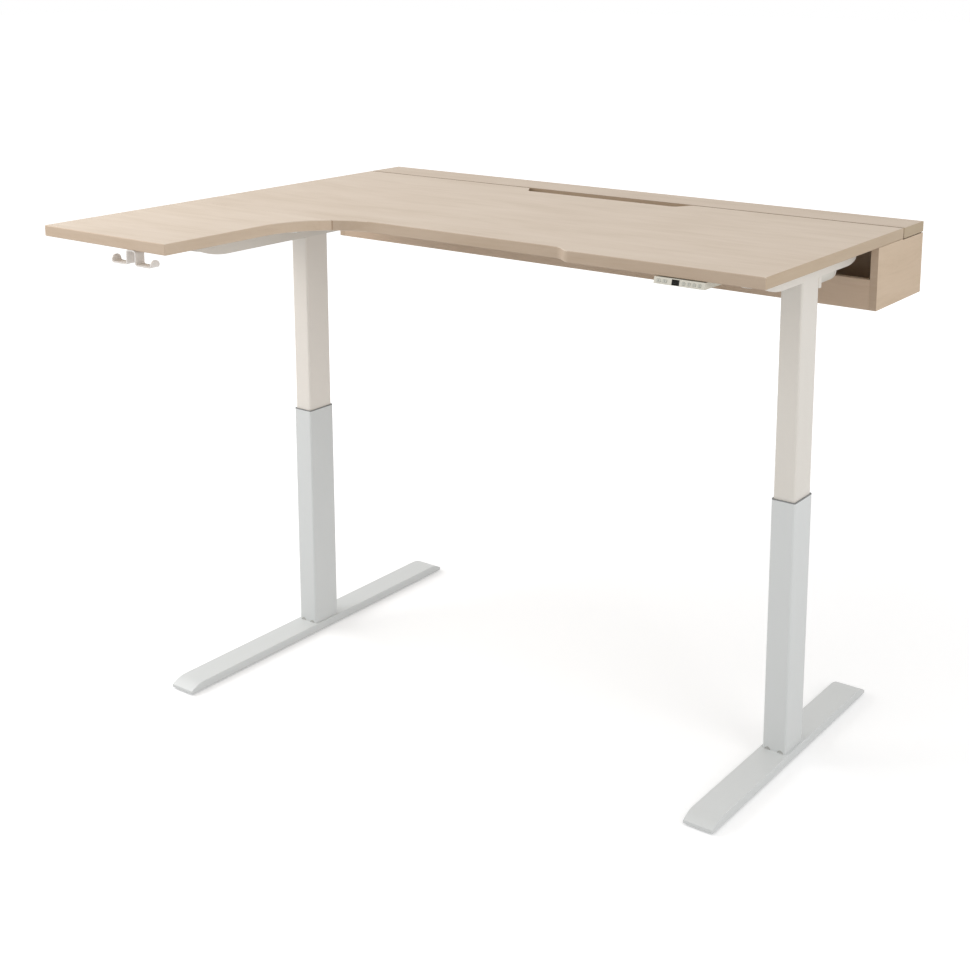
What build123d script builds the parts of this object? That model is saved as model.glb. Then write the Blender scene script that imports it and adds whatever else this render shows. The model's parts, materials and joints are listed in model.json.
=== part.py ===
from build123d import *
from math import sqrt
import os

# Height adjustable corner desk. X runs to the right along the width, Y to the back, Z up.
# The origin is on the floor, under the middle of the desk's outline. All sizes are in mm.
# "Along" is a distance from the desk's left end, "back" one from the boards' rear face.

# Boards
desk_width = 1600.0        # left end to right end
desk_depth = 800.0         # rear face to the front edge of the main board
reach = 1250.0             # rear face to the front edge of the wing
wing_width = 410.0
board = 25.0               # thickness of both boards and of the lid
top_height = 1160.0        # floor to the top of the boards, with the legs extended
cutback = 25.0             # the sitting edge lies this far behind the front edge
step_from_end = 495.0      # where the sitting edge starts to swing out to the front edge
step_run = 30.0
step_radius = 25.0
inner_radius = 180.0       # between the wing and the sitting edge
corner_radius = 4.0        # outer corners in plan
arris = 1.5                # chamfer of the boards' long edges, rounding of the lid's
seam = 0.4                 # between the main board and the wing
seam_ahead = 9.0           # of the front edge's line

# Cable lid and the cable slot in front of it
lid_depth = 116.0
lid_gap = 4.0
lid_shadow = 2.0           # the end panels stop this far below the lid
slot_length = 495.0
slot_offset = 7.5          # its middle lies this far right of the desk's
slot_depth = 45.0
slot_run = 26.0            # slope of the slot's two ends
slot_radius = 18.0

# Cable box under the rear of the main board
panel = 18.0
box_depth = 257.0
box_height = 143.0
box_front_height = 69.0
panel_arris = 0.8
outlet_length = 110.0      # cable outlets in the box's floor
outlet_width = 60.0
outlet_from_end = 22.0
outlet_from_rear = 70.0
outlet_radius = 8.0
ledge_length = 380.0       # battens that carry the lid's front edge
ledge_width = 34.0
ledge_height = 16.0
ledge_overlap = 12.0       # how far a batten reaches under the lid
ledge_from_end = 110.0
dowel_radius = 4.0
dowel_length = 30.0
dowel_fit = 0.1
floor_dowel_inset = 52.0
back_dowel_shares = (0.35, 0.8)    # of the box's height
front_dowel_share = 0.7            # of the front panel's height
ledge_screw_shares = (0.12, 0.5, 0.88)
bracket_insets = (42.0, 107.0)     # from the box's front

# Legs
left_leg_along = 210.0
left_leg_setback = 200.0   # behind the front edge
right_leg_from_end = 80.0
right_leg_setback = 320.0  # behind the front edge
travel = 450.0             # stroke of each leg
outer_x, outer_y = 57.0, 85.0
outer_wall = 1.8
outer_length = 585.0
inner_x, inner_y = 51.0, 79.0
inner_wall = 1.8
tube_radius = 5.0
run_clearance = 0.3        # between parts that slide or turn on each other
base_plate = 6.0
bottom_clearance = 8.0     # left under the inner tube when the desk is lowest
collar_lip = 2.2
collar_skirt = 40.0
collar_fit = 0.1
pad_height = 40.0          # slide pads at the foot of the inner tube
pad_width = 26.0
pad_thickness = 0.8

# Lifting spindles
spindle_radius = 8.0
nut_length = 30.0
nut_radius = 17.0
nut_shank = 10.0           # of the nut, inside its push tube
push_tube_radius = 15.0
push_tube_wall = 2.0
nut_engagement = 8.0       # spindle left below the nut at full height
bearing_radius = 16.0
bearing_height = 11.0
bearing_depth = 5.0        # from the boss's foot up to the bearing
spindle_step = 2.0         # the spindle's collar and its thinner top differ this much in radius
spindle_collar = 6.0
spindle_end = 14.0         # left between the spindle's top and the housing's

# Feet
left_foot_length = 960.0
right_foot_length = 760.0
foot_width = 70.0
foot_height = 20.0
foot_wall = 3.0
foot_shift = 5.0          # the foot's middle lies this far in front of the leg
nose_length = 42.0         # the top of the foot curves down over this length
nose_drop = 13.0
end_block = 85.0
foot_bolt_radius = 4.0
foot_bolt_head = 7.0
foot_bolt_head_height = 5.0
foot_bolt_inset = 13.0
glide_height = 4.0
glide_radius = 11.0
glide_from_end = 62.0
stud_radius = 4.0
stud_length = 15.0

# Side arms, rails and drive under the boards
arm_sheet = 2.5
arm_web = 3.0
arm_clearance = 0.5        # between an arm's flange and the leg inside it
right_arm_height = 39.0
right_arm_setback = 72.0   # of the arm's front end, from the front edge
left_arm_height = 67.0
left_arm_setback = 188.0   # of the arm's front end, from the wing's edge
arm_sweep = 240.0          # radius of the front ends' lower edges
arm_tip = 10.0             # height of the blunt front ends
arm_rear_sweep = 100.0
arm_rear_tip = 29.0
arm_box_gap = 2.5          # between the arms' rear ends and the cable box
arm_screw_inset = 28.0
head_height = 38.0         # gear housing between the tube's top and the arm's web
head_boss = 18.0
head_rounding = 2.0
head_rear = 13.0           # wall of the housing that carries the motor
motor_radius = 23.5
motor_length = 80.0
motor_cap = 10.0
motor_groove = 1.5
motor_rounding = 4.0
motor_drop = 42.0          # boards' underside to the motor's axis
rail_width = 50.0
rail_height = 30.0
rail_wall = 2.0
rail_drop = 2.0            # left between the rails and the boards
rail_gap = 11.0            # between the control box and the rear rail
rail_spacing = 160.0
rail_plate = 4.0
rail_plate_width = 92.0
rail_plate_height = 34.0
rail_bolt_radius = 4.0
rail_bolt_head = 6.5
rail_bolt_head_height = 4.0
rail_bolt_inset = 11.0
rail_rounding = 3.0

# Wood screws and the plates across the seam
screw_radius = 2.5
screw_length = 14.0
screw_head = 4.5
screw_head_height = 3.0
screw_fit = 0.1
join_length = 120.0
join_width = 40.0
join_plate = 3.0
join_corner = 6.0
join_screw_shares = (1 / 6, 5 / 12)
join_from_end = 80.0
join_from_corner = (90.0, 5.0)   # from the wing's right edge
angle_leg = 30.0
angle_width = 24.0
angle_sheet = 2.0

# Control box
control_length = 290.0
control_width = 92.0
control_height = 34.0
control_gap = 15.0         # behind it, to the cable box
control_wall = 2.5
control_ear = 16.0
control_corner = 5.0
control_rounding = 1.5
control_screw_inset = 15.0
socket_width = 16.0
socket_height = 12.0
socket_depth = 10.0
socket_wall = 1.5
socket_pitch = 26.0
socket_from_end = 50.0
inlet_from_end = 45.0
inlet_width = 28.0
inlet_height = 20.0
circuit_board = 1.6
circuit_post = 3.0         # height and radius of the posts under the control box's board
circuit_post_inset = 12.0

# Handset under the right front edge
handset_width = 116.0
handset_from_end = 130.5
handset_height = 16.0
handset_depth = 84.0
handset_lean = 4.0         # the front face leans back over its height
handset_proud = 5.0        # the lower front edge stands in front of the boards
handset_wall = 2.0
handset_radius = 1.5
handset_board_height = 9.0
handset_board_lift = 1.5   # above the middle of the front face
ear_length = 30.0
ear_depth = 30.0
ear_sheet = 2.0
ear_setback = 25.0         # behind the boards' front edge
ear_corner = 10.0
display_width = 17.5
display_height = 11.6
display_depth = 1.2
display_along = 41.0       # from the handset's left end
display_fit = 0.1
key_height = 6.4
key_radius = 2.0
key_proud = 1.0
key_rounding = 0.4
key_travel = 0.8
key_tail = 1.5             # a key reaches this far behind the shell's front wall
key_flange = 0.7           # rim round the key's foot, which keeps it in the shell
lift_key_width = 10.0
preset_key_width = 7.0
keys = {
    "up": (11.0, lift_key_width),
    "down": (25.0, lift_key_width),
    "one": (68.0, preset_key_width),
    "two": (80.0, preset_key_width),
    "three": (92.0, preset_key_width),
    "four": (104.0, preset_key_width),
}

# Double bag hook under the wing
hook_from_edge = 114.0     # its middle, from the wing's right edge
hook_setback = 1.0         # its front edge, behind the wing's
hook_width = 25.0          # of the strip it is bent from
hook_strip = 3.0
hook_stem_gap = 25.0
hook_drop = 33.0
hook_arm = 51.0
hook_turn = 16.0
hook_bend = 6.0
hook_corner = 11.0         # rounding of the two upturned ends
hook_screw_share = 0.24    # of the width, from its middle

# Lid hinges
hinge_from_end = 150.0
hinge_length = 60.0
leaf_height = 20.0
leaf_sheet = 2.0
knuckle_radius = 3.0
knuckle_gap = 0.4
pin_radius = 1.5
pin_fit = 0.05
hinge_screw_radius = 1.75
hinge_screw_length = 14.0
hinge_screw_head = 1.2
hinge_screw_shares = (-0.36, 0.0, 0.36)
leaf_gap = 0.5             # between each leaf and the level of the pin
leaf_screw_share = 0.62    # of the leaf's height

# Levels and faces that follow from the sizes above
hinge_reach = 2 * knuckle_radius + knuckle_gap
rear = (reach + hinge_reach) / 2 - hinge_reach
under = top_height - board
foot_bottom = glide_height
foot_top = foot_bottom + foot_height
outer_top = foot_top + outer_length
plate_top = foot_top + base_plate
lowest_moving = plate_top + travel + bottom_clearance
tube_top = under - arm_web - head_height
nut_bottom = lowest_moving + nut_engagement
bearing_bottom = tube_top - head_boss + bearing_depth
head_top = tube_top + head_height
arm_width = inner_x + 2 * (arm_clearance + arm_sheet)
main_back = lid_depth + lid_gap
box_bottom_z = under - box_height
floor_top = box_bottom_z + panel
seam_back = desk_depth + seam_ahead
right_leg_along = desk_width - right_leg_from_end
left_leg_back = desk_depth - left_leg_setback
right_leg_back = desk_depth - right_leg_setback
step_along = desk_width - step_from_end
slot_along = (desk_width - slot_length) / 2 + slot_offset
rear_rail_back = box_depth + control_gap + control_width + rail_gap + rail_width / 2
rail_backs = (rear_rail_back, rear_rail_back + rail_spacing)
join_alongs = [join_from_end] + [wing_width - inset for inset in join_from_corner]
hinge_alongs = (hinge_from_end, desk_width / 2, desk_width - hinge_from_end)
handset_along = desk_width - handset_from_end - handset_width
hook_along = wing_width - hook_from_edge
hook_back = reach - hook_setback
motor_z = under - motor_drop


def X(along):
    return along - desk_width / 2


def Y(back):
    return rear - back


def plan(along, back):
    return (X(along), Y(back))


legs = {
    "left": (X(left_leg_along), Y(left_leg_back), left_foot_length),
    "right": (X(right_leg_along), Y(right_leg_back), right_foot_length),
}


def block(x0, x1, y0, y1, z0, z1):
    middle = Pos((x0 + x1) / 2, (y0 + y1) / 2, (z0 + z1) / 2)
    return middle * Box(abs(x1 - x0), abs(y1 - y0), abs(z1 - z0))


def rod(x, y, z0, z1, radius):
    return Pos(x, y, (z0 + z1) / 2) * Cylinder(radius, abs(z1 - z0))


def rod_along_y(x, z, y0, y1, radius):
    return Pos(x, (y0 + y1) / 2, z) * Rot(90, 0, 0) * Cylinder(radius, abs(y1 - y0))


def rod_along_x(y, z, x0, x1, radius):
    return Pos((x0 + x1) / 2, y, z) * Rot(0, 90, 0) * Cylinder(radius, abs(x1 - x0))


def box_tube(x, y, z0, z1, size_x, size_y, wall):
    """A standing rectangular tube with rounded corners."""
    section = RectangleRounded(size_x, size_y, tube_radius)
    section -= RectangleRounded(size_x - 2 * wall, size_y - 2 * wall, tube_radius - wall)
    return Pos(x, y, z0) * extrude(section, z1 - z0)


def rounded_corner(sketch, place, radius):
    corner = sketch.vertices().sort_by_distance((place[0], place[1], 0))[0]
    return fillet(corner, radius)


def eased(solid, radius):
    return fillet(solid.edges(), radius)


def save(name, *solids):
    pieces = []
    for item in solids:
        pieces += item.solids()
    shape = pieces[0] if len(pieces) == 1 else Compound(children=pieces)
    export_step(shape, f"parts/{name}.step")


# Screws: every wood screw stands in one list, as (x, y, face, metal above the head).
# Its head bears on the underside of what it holds, and its shank ends in the board above.
wood_screws = []


def wood_screw(x, y, seat):
    head = rod(x, y, seat - screw_head_height, seat, screw_head)
    return head + rod(x, y, seat, under + screw_length, screw_radius)


def screw_holes(solid):
    reached = solid.bounding_box()
    holes = []
    for x, y, seat in wood_screws:
        if reached.min.X < x < reached.max.X and reached.min.Y < y < reached.max.Y:
            holes.append(rod(x, y, seat - 1, under + screw_length + screw_fit, screw_radius + screw_fit))
    return solid - holes


def arm_span(side):
    """Distances back of an arm's rear and front ends."""
    front = reach - left_arm_setback if side == "left" else desk_depth - right_arm_setback
    return box_depth + arm_box_gap, front


def arm_screw_backs(side):
    behind, front = arm_span(side)
    backs = [behind + arm_screw_inset, front - arm_screw_inset]
    if side == "left":
        leg_front = left_leg_back + outer_y / 2
        clear = join_length / 2 + arm_screw_inset
        backs += [leg_front + arm_screw_inset, seam_back - clear, seam_back + clear]
    else:
        backs += [behind + 2 * arm_screw_inset, front - 4 * arm_screw_inset]
    return backs


# Boards

def board_outline():
    """Plan of the main board and the wing together, with the cable slot."""
    sitting = desk_depth - cutback
    slot_end = slot_along + slot_length
    slot_back = main_back + slot_depth
    slot = ((slot_along, main_back), (slot_along + slot_run, slot_back),
            (slot_end - slot_run, slot_back), (slot_end, main_back))
    step = ((step_along + step_run, desk_depth), (step_along, sitting))
    outer = ((desk_width, desk_depth), (wing_width, reach), (0, reach))
    inner = (wing_width, sitting)
    corners = ((0, main_back),) + slot + ((desk_width, main_back), outer[0]) + step
    corners += (inner, outer[1], outer[2])
    sketch = Sketch() + Polygon(*[plan(*c) for c in corners], align=None)
    for place in slot:
        sketch = rounded_corner(sketch, plan(*place), slot_radius)
    for place in step:
        sketch = rounded_corner(sketch, plan(*place), step_radius)
    for place in outer:
        sketch = rounded_corner(sketch, plan(*place), corner_radius)
    return rounded_corner(sketch, plan(*inner), inner_radius)


def boards():
    """Both boards are eased as one and cut apart, so that the seam, the lid's edge and the slot stay sharp."""
    whole = Pos(0, 0, under) * extrude(board_outline(), board, dir=(0, 0, 1))
    edges = ShapeList()
    for edge in whole.edges():
        box = edge.bounding_box()
        if box.size.Z < 0.01 and rear - box.min.Y > main_back + slot_depth + 1:
            edges.append(edge)
    whole = chamfer(edges, arris)
    seam_end = X(wing_width + inner_radius)
    heights = (under - 1, top_height + 1)
    main = whole - block(X(-1), seam_end, Y(seam_back - seam / 2), Y(reach + 1), *heights)
    wing = whole & block(X(-1), seam_end, Y(seam_back + seam / 2), Y(reach + 1), *heights)
    return main, wing


def cable_lid():
    solid = block(X(0), X(desk_width), Y(0), Y(lid_depth), under, top_height)
    ends = [e for e in solid.edges().filter_by(Axis.Y)]
    solid = fillet(ends + solid.edges().filter_by(Axis.X).group_by(Axis.Y)[-1], arris)
    for x, y, z in hinge_screw_places("lid"):
        solid -= rod_along_y(x, z, y, y - hinge_screw_length - screw_fit, hinge_screw_radius + screw_fit)
    return solid


def join_plates():
    plates = []
    for along in join_alongs:
        plate = block(X(along - join_width / 2), X(along + join_width / 2),
                      Y(seam_back - join_length / 2), Y(seam_back + join_length / 2),
                      under - join_plate, under)
        plates.append(fillet(plate.edges().filter_by(Axis.Z), join_corner))
        for side in (-1, 1):
            for share in join_screw_shares:
                back = seam_back + side * share * join_length
                wood_screws.append((X(along), Y(back), under - join_plate))
    return plates


# Cable box

def box_dowel_places():
    """Dowels between each end panel and the floor, front and back panels."""
    places = []
    for end in (X(panel), X(desk_width - panel)):
        for back in (panel + floor_dowel_inset, box_depth - panel - floor_dowel_inset):
            places.append((end, Y(back), box_bottom_z + panel / 2))
        places.append((end, Y(box_depth - panel / 2), box_bottom_z + front_dowel_share * box_front_height))
        for share in back_dowel_shares:
            places.append((end, Y(panel / 2), box_bottom_z + share * box_height))
    return places


def dowel(place, grow=0.0):
    x, y, z = place
    half = dowel_length / 2 + grow
    return rod_along_x(y, z, x - half, x + half, dowel_radius + grow)


def doweled(solid):
    for place in box_dowel_places():
        solid -= dowel(place, dowel_fit)
    return solid


def box_panels():
    z0 = box_bottom_z
    inner_left, inner_right = X(panel), X(desk_width - panel)
    front_back = box_depth - panel
    left = block(X(0), inner_left, Y(0), Y(box_depth), z0, under)
    right = block(inner_right, X(desk_width), Y(0), Y(box_depth), z0, under)
    front = block(inner_left, inner_right, Y(front_back), Y(box_depth), z0, z0 + box_front_height)
    back = block(inner_left, inner_right, Y(0), Y(panel), z0, under)
    floor = block(inner_left, inner_right, Y(panel), Y(front_back), z0, floor_top)
    panels = [doweled(eased(p, panel_arris)) for p in (left, right, front, back, floor)]
    below_lid = block(X(-1), X(desk_width + 1), Y(-1), Y(main_back), under - lid_shadow, under + 1)
    panels[:2] = [end - below_lid for end in panels[:2]]
    for x, y, z in hinge_screw_places("fixed"):
        panels[3] -= rod_along_y(x, z, y, y - hinge_screw_length - screw_fit, hinge_screw_radius + screw_fit)
    for along in outlet_alongs():
        hole = RectangleRounded(outlet_length, outlet_width, outlet_radius)
        back_middle = outlet_from_rear + outlet_width / 2
        panels[4] -= Pos(X(along), Y(back_middle), z0 - 1) * extrude(hole, panel + 2)
    return panels


def outlet_alongs():
    inset = panel + outlet_from_end + outlet_length / 2
    return (inset, desk_width - inset)


def lid_ledges():
    pieces = []
    starts = (ledge_from_end, desk_width - ledge_from_end - ledge_length)
    for start in starts:
        back = lid_depth - ledge_overlap
        solid = block(X(start), X(start + ledge_length), Y(back), Y(back + ledge_width),
                      under - ledge_height, under)
        pieces.append(eased(solid, panel_arris))
        for share in ledge_screw_shares:
            middle = (back + ledge_width + main_back) / 2
            wood_screws.append((X(start + share * ledge_length), Y(middle), under - ledge_height))
    return pieces


def angle_brackets():
    """Steel angles that hang the cable box's end panels on the main board."""
    pieces = []
    for end, way in ((X(panel), 1), (X(desk_width - panel), -1)):
        for inset in bracket_insets:
            back = box_depth - inset
            y0, y1 = Y(back - angle_width / 2), Y(back + angle_width / 2)
            flat = block(end, end + way * angle_leg, y0, y1, under - angle_sheet, under)
            upright = block(end, end + way * angle_sheet, y0, y1, under - angle_leg, under)
            pieces.append(flat + upright)
            wood_screws.append((end + way * 0.6 * angle_leg, Y(back), under - angle_sheet))
    return pieces


# Legs

def base_plates():
    plates = []
    size_x = outer_x - 2 * (outer_wall + collar_fit)
    size_y = outer_y - 2 * (outer_wall + collar_fit)
    for x, y, _ in legs.values():
        plate = RectangleRounded(size_x, size_y, tube_radius - outer_wall)
        solid = Pos(x, y, foot_top) * extrude(plate, base_plate)
        for bx, by in bolt_places(x, y):
            solid -= rod(bx, by, foot_top - 1, plate_top + 1, foot_bolt_radius + screw_fit)
        plates.append(solid)
    return plates


def bolt_places(x, y):
    dx = outer_x / 2 - foot_bolt_inset
    dy = outer_y / 2 - foot_bolt_inset
    return [(x + sx * dx, y + sy * dy) for sx in (-1, 1) for sy in (-1, 1)]


def foot_bolts():
    under_wall = foot_top - foot_wall
    bolts = []
    for x, y, _ in legs.values():
        for bx, by in bolt_places(x, y):
            head = rod(bx, by, under_wall - foot_bolt_head_height, under_wall, foot_bolt_head)
            bolts.append(head + rod(bx, by, under_wall, plate_top, foot_bolt_radius))
    return bolts


def foot_ends(y, length):
    middle = y - foot_shift
    return middle - length / 2, middle + length / 2


def glide_places(y, length):
    front, back = foot_ends(y, length)
    return front + glide_from_end, back - glide_from_end


def foot(x, y, length):
    """A flat steel foot, open below between its two solid ends, whose top curves down."""
    front, back = foot_ends(y, length)
    lip = foot_top - nose_drop
    sweep = (nose_length ** 2 + nose_drop ** 2) / (2 * nose_drop)
    half_x = nose_length / 2
    half_drop = sweep - sqrt(sweep ** 2 - half_x ** 2)
    outline = Polyline((front, lip), (front, foot_bottom), (back, foot_bottom), (back, lip))
    outline += ThreePointArc((back, lip), (back - nose_length + half_x, foot_top - half_drop),
                             (back - nose_length, foot_top))
    outline += Line((back - nose_length, foot_top), (front + nose_length, foot_top))
    outline += ThreePointArc((front + nose_length, foot_top),
                             (front + nose_length - half_x, foot_top - half_drop), (front, lip))
    side = Plane.YZ * make_face(outline.edges())
    solid = Pos(x - foot_width / 2, 0, 0) * extrude(side, foot_width)
    solid = fillet(solid.edges().filter_by(Axis.Y).group_by(Axis.Z)[-1], arris)
    half = foot_width / 2 - foot_wall
    solid -= block(x - half, x + half, front + end_block, back - end_block,
                   foot_bottom - 1, foot_top - foot_wall)
    for gy in glide_places(y, length):
        top = foot_bottom + stud_length + run_clearance
        solid -= rod(x, gy, foot_bottom - 1, top, stud_radius + run_clearance)
    for bx, by in bolt_places(x, y):
        solid -= rod(bx, by, foot_bottom, foot_top + 1, foot_bolt_radius + screw_fit)
    return solid


def glide(x, y):
    solid = rod(x, y, 0, glide_height, glide_radius)
    solid = fillet(solid.edges().filter_by(GeomType.CIRCLE), 1)
    return solid + rod(x, y, glide_height, foot_bottom + stud_length, stud_radius)


def guide_collar(x, y):
    """Plastic collar in the mouth of the outer tube, with a lip on the tube's rim."""
    hole = RectangleRounded(inner_x + 2 * run_clearance, inner_y + 2 * run_clearance, tube_radius)
    lip = extrude(RectangleRounded(outer_x, outer_y, tube_radius) - hole, collar_lip)
    gap = outer_wall + collar_fit
    skirt = RectangleRounded(outer_x - 2 * gap, outer_y - 2 * gap, tube_radius - outer_wall) - hole
    return Pos(x, y, outer_top) * lip + Pos(x, y, outer_top - collar_skirt) * extrude(skirt, collar_skirt)


def slide_pads(x, y):
    z0, z1 = lowest_moving, lowest_moving + pad_height
    pads = []
    for side in (-1, 1):
        face_x = x + side * inner_x / 2
        pads.append(block(face_x, face_x + side * pad_thickness, y - pad_width, y + pad_width, z0, z1))
        face_y = y + side * inner_y / 2
        half = pad_width / 2
        pads.append(block(x - half, x + half, face_y, face_y + side * pad_thickness, z0, z1))
    return pads


def push_tube(x, y):
    z1 = nut_bottom
    return rod(x, y, plate_top, z1, push_tube_radius) \
        - rod(x, y, plate_top - 1, z1 + 1, push_tube_radius - push_tube_wall)


def spindle_nut(x, y):
    top = nut_bottom + nut_length
    shank_radius = push_tube_radius - push_tube_wall - screw_fit
    body = rod(x, y, nut_bottom, top, nut_radius)
    body += rod(x, y, nut_bottom - nut_shank, nut_bottom, shank_radius)
    return body - rod(x, y, nut_bottom - 2 * nut_shank, top + 1, spindle_radius + run_clearance)


def spindle(x, y):
    """Lifting spindle, with a collar under its bearing and a thinner top inside the housing."""
    collar_top = bearing_bottom - run_clearance
    collar_radius = spindle_radius + spindle_step
    solid = rod(x, y, lowest_moving, collar_top, spindle_radius)
    solid += rod(x, y, collar_top - spindle_collar, collar_top, collar_radius)
    return solid + rod(x, y, collar_top, head_top - spindle_end, spindle_radius - spindle_step)


def spindle_bearing(x, y):
    z0, z1 = bearing_bottom, bearing_bottom + bearing_height
    hole = spindle_radius - spindle_step + run_clearance
    return rod(x, y, z0, z1, bearing_radius) - rod(x, y, z0 - 1, z1 + 1, hole)


def gear_housing(x, y):
    """Cast housing on top of the inner tube: a boss inside the tube and a wall for the motor."""
    half_x, half_y = inner_x / 2, inner_y / 2
    back = y + half_y + head_rear
    solid = block(x - half_x, x + half_x, y - half_y, back, tube_top, head_top)
    solid += block(x - half_x, x + half_x, y + half_y + screw_fit, back, motor_z - motor_radius, tube_top)
    solid = fillet(solid.edges().filter_by(Axis.Z), head_rounding)
    gap = inner_wall + run_clearance
    boss = RectangleRounded(inner_x - 2 * gap, inner_y - 2 * gap, tube_radius - inner_wall)
    solid += Pos(x, y, tube_top - head_boss) * extrude(boss, head_boss)
    bearing_top = bearing_bottom + bearing_height
    solid -= rod(x, y, tube_top - head_boss - 1, bearing_top, bearing_radius)
    return solid - rod(x, y, bearing_top - 1, head_top - spindle_end + 2, spindle_radius)


def motor(x, y):
    start = y + inner_y / 2 + head_rear
    end = start + motor_length
    can = rod_along_y(x, motor_z, start, end, motor_radius)
    can = fillet(can.edges().filter_by(GeomType.CIRCLE).sort_by(Axis.Y)[-1], motor_rounding)
    ring = rod_along_y(x, motor_z, end - motor_cap - motor_groove, end - motor_cap, motor_radius + 1)
    ring -= rod_along_y(x, motor_z, start, end, motor_radius - motor_groove)
    return can - ring


def swept(rise, radius):
    """Run of an arc that leaves the level and has risen this far, and its height at half the run."""
    run = sqrt(radius ** 2 - (radius - rise) ** 2)
    half_height = radius - sqrt(radius ** 2 - (run / 2) ** 2)
    return run, half_height


def arm_side(front, back, height):
    """Side view of an arm, in Y and Z: flat below the leg and swept up to two blunt ends."""
    low = under - height
    tip, rear_tip = under - arm_tip, under - arm_rear_tip
    run, half_height = swept(height - arm_tip, arm_sweep)
    rear_run, rear_half_height = swept(height - arm_rear_tip, arm_rear_sweep)
    line = Polyline((front, tip), (front, under), (back, under), (back, rear_tip))
    line += ThreePointArc((back, rear_tip), (back - rear_run / 2, low + rear_half_height),
                          (back - rear_run, low))
    line += Line((back - rear_run, low), (front + run, low))
    line += ThreePointArc((front + run, low), (front + run / 2, low + half_height), (front, tip))
    return Plane.YZ * make_face(line.edges())


def side_arm(side):
    x = legs[side][0]
    behind, ahead = arm_span(side)
    front, back = Y(ahead), Y(behind)
    profile = arm_side(front, back, left_arm_height if side == "left" else right_arm_height)
    solid = Pos(x - arm_width / 2, 0, 0) * extrude(profile, arm_width)
    inside = arm_width / 2 - arm_sheet
    solid -= block(x - inside, x + inside, front + arm_sheet, back - arm_sheet, 0, under - arm_web)
    inner_side = 1 if side == "left" else -1
    flange = x + inner_side * (arm_width - arm_sheet) / 2
    for by, bz in rail_bolt_places():
        solid -= rod_along_x(by, bz, flange - arm_sheet, flange + arm_sheet, rail_bolt_radius + screw_fit)
    return solid


def rail_bolt_places():
    z = under - rail_drop - rail_plate_height / 2
    half = rail_plate_width / 2 - rail_bolt_inset
    return [(Y(back) + side * half, z) for back in rail_backs for side in (-1, 1)]


def rail_faces():
    left = legs["left"][0] + arm_width / 2
    right = legs["right"][0] - arm_width / 2
    return left, right


def cross_rails():
    left, right = rail_faces()
    z1 = under - rail_drop
    rails = []
    for back in rail_backs:
        y = Y(back)
        tube = block(left, right, y - rail_width / 2, y + rail_width / 2, z1 - rail_height, z1)
        tube = fillet(tube.edges().filter_by(Axis.X), rail_rounding)
        inside = rail_width / 2 - rail_wall
        tube -= block(left - 1, right + 1, y - inside, y + inside, z1 - rail_height + rail_wall,
                      z1 - rail_wall)
        half_plate = rail_plate_width / 2
        for face, way in ((left, 1), (right, -1)):
            plate = block(face, face + way * rail_plate, y - half_plate, y + half_plate,
                          z1 - rail_plate_height, z1)
            tube += fillet(plate.edges().filter_by(Axis.X), rail_rounding)
            for by, bz in rail_bolt_places():
                tube -= rod_along_x(by, bz, face - way, face + way * (rail_plate + 1),
                                    rail_bolt_radius + screw_fit)
        rails.append(tube)
    return rails


def rail_bolts():
    bolts = []
    for face, way in ((rail_faces()[0], 1), (rail_faces()[1], -1)):
        for by, bz in rail_bolt_places():
            seat = face + way * rail_plate
            shank = rod_along_x(by, bz, face - way * arm_sheet, seat, rail_bolt_radius)
            head = rod_along_x(by, bz, seat, seat + way * rail_bolt_head_height, rail_bolt_head)
            bolts.append(shank + head)
    return bolts


# Control box

def control_span():
    x0, y1 = -control_length / 2, Y(box_depth + control_gap)
    return x0, x0 + control_length, y1 - control_width, y1, under - control_height, under


def socket_places():
    """Openings in the control box's front face, as (x, width, height)."""
    x0 = control_span()[0]
    first = x0 + socket_from_end
    places = [(first + n * socket_pitch, socket_width, socket_height) for n in range(3)]
    inlet = (control_span()[1] - inlet_from_end, inlet_width, inlet_height)
    return places, inlet


def control_socket(x, width, height):
    _, _, y0, _, z0, z1 = control_span()
    z = (z0 + z1 - control_wall) / 2
    outer = block(x - width / 2, x + width / 2, y0, y0 + socket_depth, z - height / 2, z + height / 2)
    half = width / 2 - socket_wall
    high = height / 2 - socket_wall
    return outer - block(x - half, x + half, y0 - 1, y0 + socket_depth - socket_wall, z - high, z + high)


def control_case():
    x0, x1, y0, y1, z0, z1 = control_span()
    cover_z = z1 - control_wall
    solid = fillet(block(x0, x1, y0, y1, z0, cover_z).edges().filter_by(Axis.Z), control_corner)
    solid = fillet(solid.edges().group_by(Axis.Z)[0], control_rounding)
    w = control_wall
    solid -= block(x0 + w, x1 - w, y0 + w, y1 - w, z0 + w, cover_z + 1)
    sockets, inlet = socket_places()
    z = (z0 + z1 - control_wall) / 2
    for x, width, height in sockets + [inlet]:
        half = width / 2 + screw_fit
        high = height / 2 + screw_fit
        solid -= block(x - half, x + half, y0 - 1, y0 + w + 1, z - high, z + high)
    return solid


def control_cover():
    x0, x1, y0, y1, _, z1 = control_span()
    plate = RectangleRounded(x1 - x0 + 2 * control_ear, y1 - y0, control_corner)
    solid = Pos((x0 + x1) / 2, (y0 + y1) / 2, z1 - control_wall) * extrude(plate, control_wall)
    for x in (x0 - control_ear / 2, x1 + control_ear / 2):
        for y in (y0 + control_screw_inset, y1 - control_screw_inset):
            wood_screws.append((x, y, z1 - control_wall))
    return solid


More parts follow.
